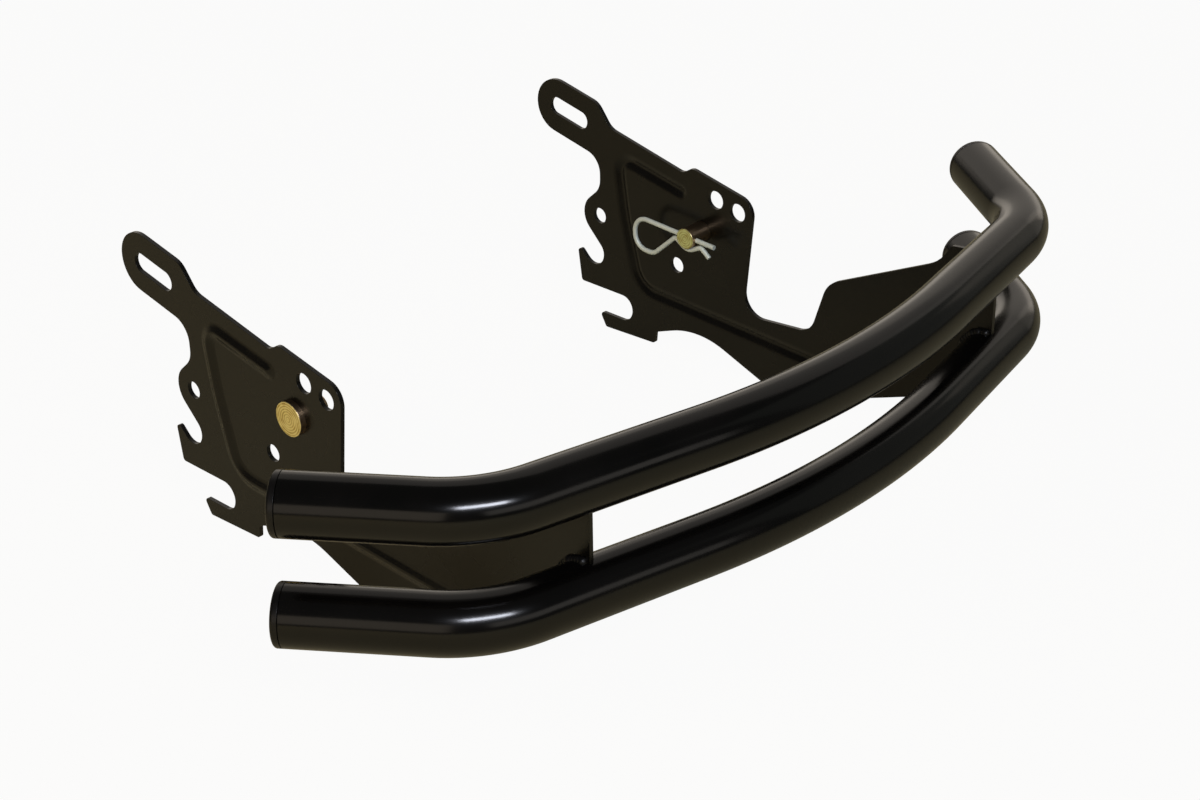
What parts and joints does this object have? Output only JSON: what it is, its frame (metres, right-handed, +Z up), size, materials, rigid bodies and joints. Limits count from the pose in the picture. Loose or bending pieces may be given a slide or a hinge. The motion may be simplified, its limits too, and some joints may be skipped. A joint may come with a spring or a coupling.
{
  "type": "crash bar",
  "caption": "Tubular front guard for a small vehicle: bent round bars welded to stamped side plates that fix to the frame by hooks, slotted lugs, bolts and clevis pins.",
  "frame": {"origin": "on the axis of the upper bolt holes, midway between the side plates", "axes": "+X across the vehicle, +Y from the bars back to the plates, +Z up"},
  "size_m": [0.6942, 0.4734, 0.1944],
  "materials": {
    "bar_paint": "gloss black paint",
    "plate_paint": "semi-gloss black paint",
    "weld_paint": "gloss black paint over a weld bead",
    "cap_plastic": "smooth black plastic",
    "pin_zinc": "yellow zinc plate",
    "clip_zinc": "bright zinc plate"
  },
  "bodies": {
    "root": {"upper_bar": "bar_paint", "lower_bar": "bar_paint", "right_side_plate": "plate_paint", "left_side_plate": "plate_paint", "right_clevis_pin": "pin_zinc", "left_clevis_pin": "pin_zinc", "right_hairpin_clip": "clip_zinc", "left_hairpin_clip": "clip_zinc", "right_upper_end_cap": "cap_plastic", "left_upper_end_cap": "cap_plastic", "right_upper_outer_weld": "weld_paint", "left_upper_outer_weld": "weld_paint", "right_upper_inner_weld": "weld_paint", "left_upper_inner_weld": "weld_paint", "right_lower_end_cap": "cap_plastic", "left_lower_end_cap": "cap_plastic", "right_lower_outer_weld": "weld_paint", "left_lower_outer_weld": "weld_paint", "right_lower_inner_weld": "weld_paint", "left_lower_inner_weld": "weld_paint"}
  },
  "joints": []
}
